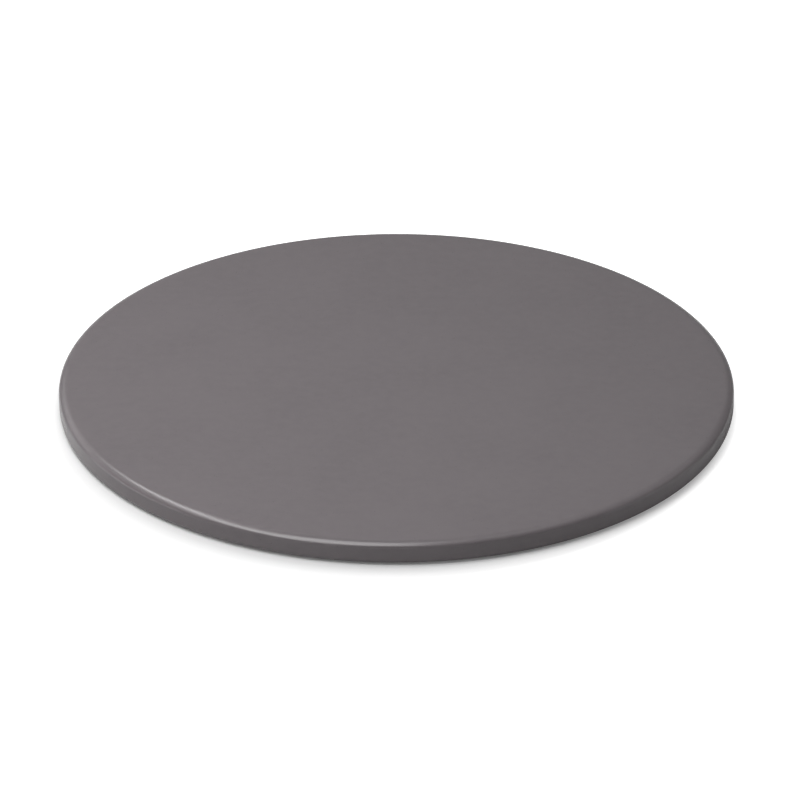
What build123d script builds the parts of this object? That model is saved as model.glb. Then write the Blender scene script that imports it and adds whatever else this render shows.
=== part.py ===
from build123d import *

import os
from math import radians, sin

# Round glazed pizza stone: a flat pressed ceramic slab in two layers that touch face to face.
# The slab stands on a bare foot ring round a slightly recessed middle. A satin glaze covers the top, the
# rim and the underside of the rim. It ends short of the foot ring, so that no glaze touches the surface
# that the stone stands on.
# Sizes are millimetres and degrees. The origin is the centre of the resting plane, with +Z up.

# Overall size, over the glaze
stone_diameter = 365.0
stone_thickness = 12.5
glaze_thickness = 0.4

# Top edge, from the flat top outwards: a wide soft shoulder, then a tighter rim
shoulder_radius = 8.0
shoulder_angle = 34.5
rim_radius = 2.0

# Bottom edge, and how far its glazed underside stands above the resting plane
lower_edge_radius = 2.5
foot_step = 0.6

# Bare foot ring and the recessed middle inside it, with rounded corners and coves
foot_inset = 7.0
foot_width = 24.0
recess_depth = 0.8
corner_share = 0.45

# Bare margin between the end of the glaze and the foot ring
glaze_margin = 1.5

# Places worked out from the sizes above
rim_x = stone_diameter / 2
foot_outer_x = rim_x - foot_inset
foot_inner_x = foot_outer_x - foot_width
slab_top_z = stone_thickness - glaze_thickness
slab_under_z = foot_step + glaze_thickness


def rim_curves(inset):
    """The edge from the flat top to the flat underside of the rim, moved inwards by inset."""
    reach = rim_radius + (shoulder_radius - rim_radius) * sin(radians(shoulder_angle))
    flat_end = (rim_x - reach, stone_thickness - inset)
    shoulder = JernArc(flat_end, (1, 0), shoulder_radius - inset, -shoulder_angle)
    rim = JernArc(shoulder @ 1, shoulder % 1, rim_radius - inset, shoulder_angle - 90)
    wall = Line(rim @ 1, (rim_x - inset, foot_step + lower_edge_radius))
    lower_edge = JernArc(wall @ 1, wall % 1, lower_edge_radius - inset, -90)
    return shoulder, rim, wall, lower_edge


def turned(*curves):
    """The solid made by turning a closed outline, drawn as radius and height, about the axis."""
    return revolve(Plane.XZ * make_face(curves), Axis.Z)


def slab():
    """The ceramic slab, bare from the end of the glaze across its foot ring and recess."""
    edge = rim_curves(glaze_thickness)
    step_radius = corner_share * slab_under_z
    recess_radius = corner_share * recess_depth
    underside = FilletPolyline(
        edge[-1] @ 1,
        (foot_outer_x, slab_under_z),
        (foot_outer_x, 0),
        (foot_inner_x, 0),
        (foot_inner_x, recess_depth),
        (0, recess_depth),
        radius=[step_radius, step_radius, recess_radius, recess_radius],
    )
    axis_and_top = Polyline((0, recess_depth), (0, slab_top_z), edge[0] @ 0)
    return turned(*edge, underside, axis_and_top)


def glaze():
    """The glaze coat, of one thickness all over, with a rounded end under the rim."""
    outer = rim_curves(0)
    inner = rim_curves(glaze_thickness)
    end_x = foot_outer_x + glaze_margin + glaze_thickness
    under_rim = Line(outer[-1] @ 1, (end_x, foot_step))
    end = JernArc(under_rim @ 1, under_rim % 1, glaze_thickness, -90)
    over_slab = Line(end @ 1, inner[-1] @ 1)
    axis_and_tops = Polyline(inner[0] @ 0, (0, slab_top_z), (0, stone_thickness), outer[0] @ 0)
    return turned(*outer, under_rim, end, over_slab, *inner, axis_and_tops)


os.makedirs("parts", exist_ok=True)
export_step(slab(), "parts/stone_body.step")
export_step(glaze(), "parts/glaze_coat.step")
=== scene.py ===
"""Looks of a round glazed pizza stone, round its CAD frame.

Metres and degrees, with the origin at the centre of the resting plane and +Z up. The glaze and the slab are
turned meshes that replace their CAD nodes, as smooth as the fired surfaces are, and as slightly uneven.
"""

from math import cos, pi, radians, sin, tan

import bpy
import numpy as np
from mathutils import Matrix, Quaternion, Vector


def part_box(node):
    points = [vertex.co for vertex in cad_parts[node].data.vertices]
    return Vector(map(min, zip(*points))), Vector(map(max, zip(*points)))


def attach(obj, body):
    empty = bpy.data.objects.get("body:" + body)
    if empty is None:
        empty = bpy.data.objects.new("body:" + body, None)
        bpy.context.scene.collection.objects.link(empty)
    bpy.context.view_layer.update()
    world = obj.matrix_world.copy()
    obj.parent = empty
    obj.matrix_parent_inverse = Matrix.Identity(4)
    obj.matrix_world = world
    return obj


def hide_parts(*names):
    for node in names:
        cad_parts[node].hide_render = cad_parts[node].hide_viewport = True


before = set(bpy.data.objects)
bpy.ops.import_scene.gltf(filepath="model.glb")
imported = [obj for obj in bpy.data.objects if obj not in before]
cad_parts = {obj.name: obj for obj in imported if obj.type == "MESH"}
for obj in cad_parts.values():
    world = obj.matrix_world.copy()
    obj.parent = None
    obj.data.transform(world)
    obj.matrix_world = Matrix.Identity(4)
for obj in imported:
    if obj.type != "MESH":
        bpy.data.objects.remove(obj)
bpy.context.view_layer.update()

# Outer sizes, from the frame
glaze_low, glaze_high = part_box("glaze_coat")
slab_low, slab_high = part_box("stone_body")
stone_radius = glaze_high.x
stone_top = glaze_high.z
foot_step = glaze_low.z
glaze_thickness = glaze_high.z - slab_high.z

# Edge, foot ring and recess, as in the solids
shoulder_radius = 0.008
shoulder_angle = 34.5
rim_radius = 0.002
lower_edge_radius = 0.0025
foot_inset = 0.007
foot_width = 0.024
recess_depth = 0.0008
corner_share = 0.45
glaze_margin = 0.0015

# How finely the meshes are turned and their outlines divided
turn_steps = 432
arc_steps = 14
wall_steps = 6
flat_step = 0.005

# Unevenness of the fired surfaces, never outwards, and of the line where the glaze ends
seed = 11
glaze_ripple = 0.00003
slab_ripple = 0.00006
ripple_waves = 24
shortest_wave, longest_wave = 0.012, 0.09
glaze_end_wander = 0.0005
end_waves = 24
weakest_end_wave = 0.3


def arc(centre, radius, start, sweep):
    """Points along an arc of the half-section, as radius and height, both ends included."""
    angles = np.radians(start + sweep * np.linspace(0, 1, arc_steps + 1))
    return np.stack([centre[0] + radius * np.cos(angles), centre[1] + radius * np.sin(angles)], -1)


def straight(start, end, steps):
    """Points along a straight of the half-section, both ends included."""
    share = np.linspace(0, 1, steps + 1)[:, None]
    return np.array(start) * (1 - share) + np.array(end) * share


def joined(*runs):
    """One outline of several runs, with each shared end kept once."""
    return np.concatenate([runs[0], *(run[1:] for run in runs[1:])])


def flat_steps(length):
    """Number of rings on a flat of this length."""
    return max(1, round(length / flat_step))


def edge_outline(inset):
    """The edge from the flat top to the flat underside of the rim, moved inwards by inset."""
    bend = shoulder_radius - rim_radius
    tilt = radians(shoulder_angle)
    rim_x = stone_radius - rim_radius
    shoulder_centre = (rim_x - bend * sin(tilt), stone_top - shoulder_radius)
    rim_centre = (rim_x, stone_top - shoulder_radius + bend * cos(tilt))
    lower_centre = (stone_radius - lower_edge_radius, foot_step + lower_edge_radius)
    shoulder = arc(shoulder_centre, shoulder_radius - inset, 90, -shoulder_angle)
    rim = arc(rim_centre, rim_radius - inset, 90 - shoulder_angle, shoulder_angle - 90)
    lower_edge = arc(lower_centre, lower_edge_radius - inset, 0, -90)
    wall = straight(rim[-1], lower_edge[0], wall_steps)
    return joined(shoulder, rim, wall, lower_edge)


def glaze_outline(end_x):
    """The glaze coat's section from the axis over the top and round its end at end_x, then back inside."""
    outer = edge_outline(0)
    inner = edge_outline(glaze_thickness)[::-1]
    under_z = foot_step + glaze_thickness
    end = arc((end_x + glaze_thickness, under_z), glaze_thickness, 270, -90)
    top = straight((0, stone_top), outer[0], flat_steps(outer[0][0]))
    under = straight(outer[-1], end[0], wall_steps)
    back = straight(end[-1], inner[0], wall_steps)
    inside = straight(inner[-1], (0, inner[-1][1]), flat_steps(inner[-1][0]))
    return joined(top, outer, under), joined(end, back, inner, inside)


def slab_outline():
    """The slab's section from the axis over the top and rim, then back across its bare underside."""
    edge = edge_outline(glaze_thickness)
    under_z = foot_step + glaze_thickness
    outer_x = stone_radius - foot_inset
    inner_x = outer_x - foot_width
    step_r = corner_share * under_z
    recess_r = corner_share * recess_depth
    outer_cove = arc((outer_x + step_r, under_z - step_r), step_r, 90, 90)
    outer_foot = arc((outer_x - step_r, step_r), step_r, 0, -90)
    inner_foot = arc((inner_x + recess_r, recess_r), recess_r, 270, -90)
    inner_cove = arc((inner_x - recess_r, recess_depth - recess_r), recess_r, 0, 90)
    top = straight((0, edge[0][1]), edge[0], flat_steps(edge[0][0]))
    under = straight(edge[-1], outer_cove[0], wall_steps)
    sole = straight(outer_foot[-1], inner_foot[0], flat_steps(foot_width))
    recess = straight(inner_cove[-1], (0, recess_depth), flat_steps(inner_x))
    return joined(top, edge), joined(under, outer_cove, outer_foot, sole, inner_foot, inner_cove, recess)


def turned(name, outlines):
    """A closed mesh from one outline for each step round the axis. Each starts and ends on the axis."""
    outlines = np.asarray(outlines)
    turns, points = outlines.shape[:2]
    angles = np.linspace(0, 2 * np.pi, turns, endpoint=False)[:, None]
    rings = outlines[:, 1:-1]
    x, y = rings[..., 0] * np.cos(angles), rings[..., 0] * np.sin(angles)
    corners = np.stack([x, y, rings[..., 1]], -1).reshape(-1, 3)
    poles = [(0, 0, outlines[0, 0, 1]), (0, 0, outlines[0, -1, 1])]
    width = points - 2
    first_pole = turns * width
    faces = []
    for turn in range(turns):
        here, there = turn * width, (turn + 1) % turns * width
        faces.append((first_pole, here, there))
        faces += [(here + k, here + k + 1, there + k + 1, there + k) for k in range(width - 1)]
        faces.append((first_pole + 1, there + width - 1, here + width - 1))
    mesh = bpy.data.meshes.new(name)
    mesh.from_pydata([*corners.tolist(), *poles], [], faces)
    mesh.shade_smooth()
    piece = bpy.data.objects.new(name, mesh)
    bpy.context.scene.collection.objects.link(piece)
    return piece


def wander(random):
    """A smooth random curve round the axis, between -1 and 1."""
    angles = np.linspace(0, 2 * np.pi, turn_steps, endpoint=False)
    total = np.zeros(turn_steps)
    for wave in range(1, end_waves + 1):
        total += np.cos(wave * angles + random.uniform(0, 2 * np.pi)) * random.uniform(weakest_end_wave, 1)
    return total / np.abs(total).max()


def ripple(random, outlines):
    """A smooth random height from 0 to 1 at each point of these outlines, made of waves that cross."""
    angles = np.linspace(0, 2 * np.pi, turn_steps, endpoint=False)[:, None]
    x, y = outlines[..., 0] * np.cos(angles), outlines[..., 0] * np.sin(angles)
    total = np.zeros(x.shape)
    for wave in range(ripple_waves):
        heading = random.uniform(0, 2 * np.pi)
        turns = 2 * np.pi / random.uniform(shortest_wave, longest_wave)
        along = x * cos(heading) + y * sin(heading) + outlines[..., 1]
        total += np.cos(turns * along + random.uniform(0, 2 * np.pi))
    return (total - total.min()) / (total.max() - total.min())


def worn(outlines, heights):
    """The outlines with each point moved into the piece by its height."""
    along = np.gradient(outlines, axis=1)
    length = np.hypot(along[..., 0], along[..., 1])
    inwards = np.stack([along[..., 1], -along[..., 0]], -1) / length[..., None]
    inwards[:, 0] = inwards[:, 1]
    moved = outlines + inwards * heights[..., None]
    moved[:, [0, -1], 0] = outlines[:, [0, -1], 0]
    return moved


def glaze_piece():
    """The glaze coat. Its face ripples, and its end under the rim wanders, as poured glaze does."""
    random = np.random.default_rng(seed)
    end_x = stone_radius - foot_inset + glaze_margin
    runs = [glaze_outline(x) for x in end_x + glaze_end_wander * wander(random)]
    shown = np.array([run[0] for run in runs])
    rest = np.array([run[1] for run in runs])
    flow = np.minimum(1, np.arange(shown.shape[1])[::-1] / wall_steps)
    shown = worn(shown, glaze_ripple * ripple(random, shown) * flow)
    return turned("glaze", np.concatenate([shown, rest[:, 1:]], 1))


def slab_piece():
    """The slab. Its bare underside is slightly uneven, and its top and rim lie under the glaze."""
    random = np.random.default_rng(seed + 1)
    hidden, bare = slab_outline()
    shown = np.array([bare] * turn_steps)
    flow = np.minimum(1, np.arange(shown.shape[1]) / wall_steps)
    shown = worn(shown, slab_ripple * ripple(random, shown) * flow)
    return turned("slab", np.concatenate([[hidden] * turn_steps, shown[:, 1:]], 1))


def shader(name):
    """A new material, with its node tree and its main shader."""
    material = bpy.data.materials.new(name)
    material.use_nodes = True
    return material, material.node_tree, material.node_tree.nodes["Principled BSDF"]


def add(tree, kind, links=None, values=None, **settings):
    """A new node, with its settings, and its values and links by input name or number."""
    made = tree.nodes.new(kind)
    for key, value in settings.items():
        setattr(made, key, value)
    for key, value in (values or {}).items():
        made.inputs[key].default_value = value
    for key, source in (links or {}).items():
        tree.links.new(source, made.inputs[key])
    return made


def maths(tree, operation, first, second):
    """The result of a sum on two links, or on a link and a number."""
    links = {0: first}
    values = {}
    if isinstance(second, (int, float)):
        values[1] = second
    else:
        links[1] = second
    return add(tree, "ShaderNodeMath", links, values, operation=operation).outputs[0]


def spread(tree, value, low, high, to_low=0, to_high=1, smooth=False):
    """The value with its range low to high spread over to_low to to_high, and held there beyond."""
    values = {"From Min": low, "From Max": high, "To Min": to_low, "To Max": to_high}
    kind = "SMOOTHSTEP" if smooth else "LINEAR"
    return add(tree, "ShaderNodeMapRange", {"Value": value}, values, interpolation_type=kind).outputs[0]


def distance(tree, place, centre):
    """How far the place is from a centre."""
    return add(tree, "ShaderNodeVectorMath", {0: place}, {1: centre}, operation="DISTANCE").outputs["Value"]


def clouds(tree, place, size, detail=3, low=0.3, high=0.7):
    """Random clouds of this size. The range low to high of the noise becomes 0 to 1."""
    made = add(tree, "ShaderNodeTexNoise", {"Vector": place}, {"Scale": 1 / size, "Detail": detail})
    return spread(tree, made.outputs[0], low, high)


def specks(tree, place, spacing, radius, share, core=0.6):
    """Round specks in this share of the cells of a random mesh, 1 in their core and 0 outside."""
    cells = add(tree, "ShaderNodeTexVoronoi", {"Vector": place}, {"Scale": 1 / spacing})
    rim = radius / spacing
    inside = spread(tree, cells.outputs["Distance"], rim, core * rim, smooth=True)
    chosen = add(tree, "ShaderNodeSeparateColor", {0: cells.outputs["Color"]}).outputs[0]
    return maths(tree, "MULTIPLY", inside, maths(tree, "LESS_THAN", chosen, share))


def mixed(tree, share, first, second):
    """The first colour, turned into the second by this share. The first may be a link."""
    links = {0: share}
    values = {7: (*second, 1)}
    if isinstance(first, tuple):
        values[6] = (*first, 1)
    else:
        links[6] = first
    return add(tree, "ShaderNodeMix", links, values, data_type="RGBA").outputs[2]


def tinted(tree, colour, mask, strength, tone):
    """The colour, turned into the tone by the mask times this strength."""
    return mixed(tree, maths(tree, "MULTIPLY", mask, strength), colour, tone)


def relief(tree, main, *layers):
    """A bump of several layers, each a link and its height in metres."""
    parts = [maths(tree, "MULTIPLY", layer, height) for layer, height in layers]
    total = parts[0]
    for part in parts[1:]:
        total = maths(tree, "ADD", total, part)
    bump = add(tree, "ShaderNodeBump", {"Height": total}, {"Strength": 1, "Distance": 1})
    tree.links.new(bump.outputs[0], main.inputs["Normal"])


# Glaze: its tone and the tones that cloud and speckle it, its gloss, and how it bends light
glaze_tone = (0.160, 0.142, 0.150)
glaze_pale = (0.172, 0.153, 0.161)
glaze_deep = (0.148, 0.131, 0.139)
glaze_fleck = (0.215, 0.194, 0.200)
glaze_iron = (0.085, 0.072, 0.074)
glaze_smooth, glaze_rough = 0.225, 0.255
glaze_index = 1.5

# Sizes of its clouds, of the patches and grain over them, of the changes in its gloss and of its skin
glaze_cloud, glaze_patch, glaze_grain = 0.045, 0.006, 0.0007
gloss_cloud, glaze_peel = 0.018, 0.004

# Its specks and pinholes
glaze_flecks = {"spacing": 0.0018, "radius": 0.00022, "share": 0.5}
glaze_irons = {"spacing": 0.0031, "radius": 0.0003, "share": 0.4}
glaze_pinholes = {"spacing": 0.009, "radius": 0.0003, "share": 0.3}

# How strongly each shows in the colour, and how high or deep it is
patch_strength, grain_strength, speck_strength = 0.5, 0.3, 0.6
peel_height, grain_height, pinhole_depth = 0.000004, 0.0000008, 0.00005


def glaze_material():
    """Dark grey satin glaze, faintly clouded, with fine flecks, pinholes and a skin like orange peel."""
    material, tree, main = shader("satin_glaze")
    place = add(tree, "ShaderNodeTexCoord").outputs["Object"]
    colour = mixed(tree, clouds(tree, place, glaze_cloud), glaze_deep, glaze_tone)
    colour = tinted(tree, colour, clouds(tree, place, glaze_patch), patch_strength, glaze_pale)
    grain = clouds(tree, place, glaze_grain, detail=2)
    colour = tinted(tree, colour, grain, grain_strength, glaze_pale)
    colour = tinted(tree, colour, specks(tree, place, **glaze_flecks), speck_strength, glaze_fleck)
    colour = tinted(tree, colour, specks(tree, place, **glaze_irons), speck_strength, glaze_iron)
    tree.links.new(colour, main.inputs["Base Color"])
    gloss = spread(tree, clouds(tree, place, gloss_cloud), 0, 1, glaze_smooth, glaze_rough)
    tree.links.new(gloss, main.inputs["Roughness"])
    main.inputs["IOR"].default_value = glaze_index
    peel = clouds(tree, place, glaze_peel, detail=1, low=0, high=1)
    pinholes = specks(tree, place, **glaze_pinholes)
    relief(tree, main, (peel, peel_height), (grain, grain_height), (pinholes, -pinhole_depth))
    return material


# Bare clay: its tone, the tones that cloud, speckle and toast it, and how rough and shiny it is
clay_tone = (0.60, 0.51, 0.38)
clay_deep = (0.50, 0.41, 0.29)
clay_grog = (0.70, 0.64, 0.53)
clay_iron = (0.17, 0.10, 0.06)
clay_toast = (0.45, 0.26, 0.13)
clay_rough, clay_smooth = 0.98, 0.86
clay_shine = 0.3

# Sizes of its clouds and grain, and the width of the toasted line, its patches and their strength
clay_cloud, clay_grain = 0.03, 0.0009
toast_width, toast_patch = 0.0035, 0.004
toast_weakest, toast_strongest = 0.25, 0.8

# Its sand, iron specks and pores
clay_sand = {"spacing": 0.0026, "radius": 0.0005, "share": 0.5}
clay_irons = {"spacing": 0.0042, "radius": 0.0004, "share": 0.4}
clay_pores = {"spacing": 0.003, "radius": 0.00035, "share": 0.5}

# How strongly each shows in the colour, and how high or deep it is
clay_grain_strength, sand_strength, iron_strength = 0.35, 0.7, 0.8
clay_grain_height, pore_depth = 0.00006, 0.00015


def slab_material():
    """Bare fired clay with sand and iron specks and open pores, toasted along the end of the glaze."""
    material, tree, main = shader("bare_ceramic")
    place = add(tree, "ShaderNodeTexCoord").outputs["Object"]
    grain = clouds(tree, place, clay_grain, detail=4)
    colour = mixed(tree, clouds(tree, place, clay_cloud), clay_tone, clay_deep)
    colour = tinted(tree, colour, grain, clay_grain_strength, clay_deep)
    colour = tinted(tree, colour, specks(tree, place, **clay_sand), sand_strength, clay_grog)
    colour = tinted(tree, colour, specks(tree, place, **clay_irons), iron_strength, clay_iron)
    flat = add(tree, "ShaderNodeVectorMath", {0: place}, {1: (1, 1, 0)}, operation="MULTIPLY").outputs[0]
    radius = add(tree, "ShaderNodeVectorMath", {0: flat}, operation="LENGTH").outputs["Value"]
    end_x = stone_radius - foot_inset + glaze_margin
    toast = spread(tree, radius, end_x - toast_width, end_x, smooth=True)
    patchy = spread(tree, clouds(tree, place, toast_patch), 0, 1, toast_weakest, toast_strongest)
    colour = mixed(tree, maths(tree, "MULTIPLY", toast, patchy), colour, clay_toast)
    tree.links.new(colour, main.inputs["Base Color"])
    tree.links.new(spread(tree, grain, 0, 1, clay_rough, clay_smooth), main.inputs["Roughness"])
    main.inputs["Specular IOR Level"].default_value = clay_shine
    pores = specks(tree, place, **clay_pores)
    relief(tree, main, (grain, clay_grain_height), (pores, -pore_depth))
    return material


# Floor. It shows as white, apart from the stone's shadow. The lamps cast part of it, and the rest is
# painted as a dimmer glow, darkest under and close round the stone. The painted shadow that the glaze
# mirrors is wider, and centred further from the lamps. The hole lies wholly under the stone, and lets a
# lamp below light its underside.
floor_radius = 30.0
hole_inset = 0.0076
floor_corners = 96
floor_colour = (0.7, 0.7, 0.7, 1)
floor_gap = 0.0001
painted_shadow_centre = (-0.008, -0.015, 0)
painted_shadow_edge, painted_shadow_end, white_from = 0.170, 0.182, 0.194
painted_shadow_glow, open_glow = 0.124, 0.38
mirrored_shadow_centre = (0.03, -0.03, 0)
mirrored_shadow_edge, mirrored_white_from, mirrored_shadow_glow = 0.26, 0.35, 0.04


def floor():
    """A pale floor that glows for the camera and in reflections only, less round the stone as a painted
    shadow. From below it can't be seen.
    """
    angles = np.linspace(0, 2 * np.pi, floor_corners, endpoint=False)
    around = np.stack([np.cos(angles), np.sin(angles), angles * 0], -1)
    hole_radius = stone_radius - hole_inset
    corners = np.concatenate([around * hole_radius, around * floor_radius]) - (0, 0, floor_gap)
    after = [(k + 1) % floor_corners for k in range(floor_corners)]
    faces = [(k, k + floor_corners, after[k] + floor_corners, after[k]) for k in range(floor_corners)]
    mesh = bpy.data.meshes.new("floor")
    mesh.from_pydata(corners.tolist(), [], faces)
    piece = bpy.data.objects.new("floor", mesh)
    bpy.context.scene.collection.objects.link(piece)
    material, tree, main = shader("pale_floor")
    main.inputs["Base Color"].default_value = floor_colour
    main.inputs["Roughness"].default_value = 1
    main.inputs["Specular IOR Level"].default_value = 0
    main.inputs["Emission Color"].default_value = (1, 1, 1, 1)
    place = add(tree, "ShaderNodeTexCoord").outputs["Object"]
    # Painted shadow: the glow that the camera sees is dimmest close round the stone, and rises to white
    # further out.
    away = distance(tree, place, painted_shadow_centre)
    near_painted_shadow = spread(tree, away, painted_shadow_edge, painted_shadow_end, painted_shadow_glow, open_glow)
    shown = maths(tree, "ADD", near_painted_shadow, spread(tree, away, painted_shadow_end, white_from, 0, 1 - open_glow))
    # Painted shadow in reflections: the glow that the glaze mirrors is dimmest in a wider ring round the
    # stone.
    away = distance(tree, place, mirrored_shadow_centre)
    mirrored = spread(tree, away, mirrored_shadow_edge, mirrored_white_from, mirrored_shadow_glow, 1)
    path = add(tree, "ShaderNodeLightPath").outputs
    bounced = maths(tree, "MAXIMUM", path["Is Glossy Ray"], path["Is Transmission Ray"])
    direct = maths(tree, "MULTIPLY", path["Is Camera Ray"], shown)
    glow = maths(tree, "ADD", direct, maths(tree, "MULTIPLY", bounced, mirrored))
    tree.links.new(glow, main.inputs["Emission Strength"])
    below = add(tree, "ShaderNodeNewGeometry").outputs["Backfacing"]
    clear = add(tree, "ShaderNodeBsdfTransparent").outputs[0]
    both = add(tree, "ShaderNodeMixShader", {0: below, 1: main.outputs[0], 2: clear})
    tree.links.new(both.outputs[0], tree.nodes["Material Output"].inputs["Surface"])
    mesh.materials.append(material)


# Camera: a long lens at the photograph's angle
image_width = 800
camera_elevation = 27.777
camera_roll = -0.068
camera_distance = 4.0
camera_reach = 50.0
pixels_per_metre = 1846.3
shift_right, shift_up = 0.00448, 0.00215


def camera():
    """The photograph's view."""
    e = radians(camera_elevation)
    back = Vector((0, -cos(e), sin(e)))
    data = bpy.data.cameras.new("camera")
    data.lens = data.sensor_width * pixels_per_metre * camera_distance / image_width
    data.shift_x, data.shift_y = shift_right, shift_up
    data.clip_end = camera_reach
    made = bpy.data.objects.new("camera", data)
    made.location = back * camera_distance
    made.rotation_mode = "QUATERNION"
    roll = Quaternion((0, 0, 1), radians(camera_roll))
    made.rotation_quaternion = (-back).to_track_quat("-Z", "Y") @ roll
    bpy.context.scene.collection.objects.link(made)
    bpy.context.scene.camera = made


# Lamps. A radiance of 1 shows as white.
sky_light, sky_mirrored = 0.02, 0.25
overhead_height = 0.885
side_distance = 2.5
side_width = 45
below_depth, below_size, below_radiance = 1.2, 0.8, 8.0


def lamp(name, place, size, radiance, aim):
    """A soft rectangular lamp of this radiance that faces the aim."""
    data = bpy.data.lights.new(name, "AREA")
    data.shape = "RECTANGLE"
    data.size, data.size_y = size
    data.energy = pi * size[0] * size[1] * radiance
    made = bpy.data.objects.new(name, data)
    made.location = place
    made.rotation_mode = "QUATERNION"
    made.rotation_quaternion = (Vector(aim) - Vector(place)).to_track_quat("-Z", "Y")
    bpy.context.scene.collection.objects.link(made)


def overhead(name, x, y, width, length, radiance):
    """A lamp that hangs level over the stone and shines straight down."""
    lamp(name, (x, y, overhead_height), (width, length), radiance, (x, y, 0))


def side(name, azimuth, elevation, tall, radiance):
    """A lamp on a wide circle round the stone, tall degrees high, that faces it."""
    around, up = radians(azimuth), radians(elevation)
    place = side_distance * Vector((cos(up) * cos(around), cos(up) * sin(around), sin(up)))
    width = 2 * side_distance * tan(radians(side_width / 2)) * cos(up)
    height = 2 * side_distance * tan(radians(tall / 2))
    lamp(name, place, (width, height), radiance, (0, 0, 0))


def sky():
    """A dark studio, which the camera sees as white."""
    world = bpy.data.worlds.new("world")
    world.use_nodes = True
    tree = world.node_tree
    path = add(tree, "ShaderNodeLightPath").outputs
    bounced = maths(tree, "MAXIMUM", path["Is Glossy Ray"], path["Is Transmission Ray"])
    mirrored = spread(tree, bounced, 0, 1, sky_light, sky_mirrored)
    strength = maths(tree, "MAXIMUM", path["Is Camera Ray"], mirrored)
    background = tree.nodes["Background"]
    background.inputs["Color"].default_value = (1, 1, 1, 1)
    tree.links.new(strength, background.inputs["Strength"])
    bpy.context.scene.world = world


def lights():
    """Soft boxes overhead, weaker panels round the stone, and one lamp below the floor."""
    sky()
    overhead("key_box", x=-0.216, y=-0.19, width=0.28, length=0.56, radiance=5.6)
    overhead("key_box_side", x=-0.006, y=-0.19, width=0.14, length=0.56, radiance=4.9)
    overhead("strip_box", x=-0.47, y=0.31, width=0.15, length=1.04, radiance=7.8)
    overhead("strip_box_end", x=-0.47, y=-0.60, width=0.15, length=0.78, radiance=8.4)
    side("back_low", azimuth=90, elevation=27, tall=15, radiance=0.18)
    side("back_left_low", azimuth=135, elevation=27, tall=15, radiance=1.12)
    side("back_right", azimuth=45, elevation=47, tall=24, radiance=0.34)
    side("back", azimuth=90, elevation=47, tall=24, radiance=0.33)
    side("back_left", azimuth=135, elevation=47, tall=24, radiance=0.4)
    side("left_strip", azimuth=180, elevation=3, tall=5.8, radiance=6.0)
    side("right_high", azimuth=45, elevation=70, tall=20, radiance=1.05)
    side("right_low", azimuth=0, elevation=10, tall=16, radiance=1.1)
    lamp("underside", (0, 0, -below_depth), (below_size, below_size), below_radiance, (0, 0, 0))


glaze = glaze_piece()
glaze.data.materials.append(glaze_material())
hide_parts("glaze_coat")
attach(glaze, "root")

slab = slab_piece()
slab.data.materials.append(slab_material())
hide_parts("stone_body")
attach(slab, "root")

floor()
camera()
lights()
bpy.context.scene.view_settings.view_transform = "Standard"
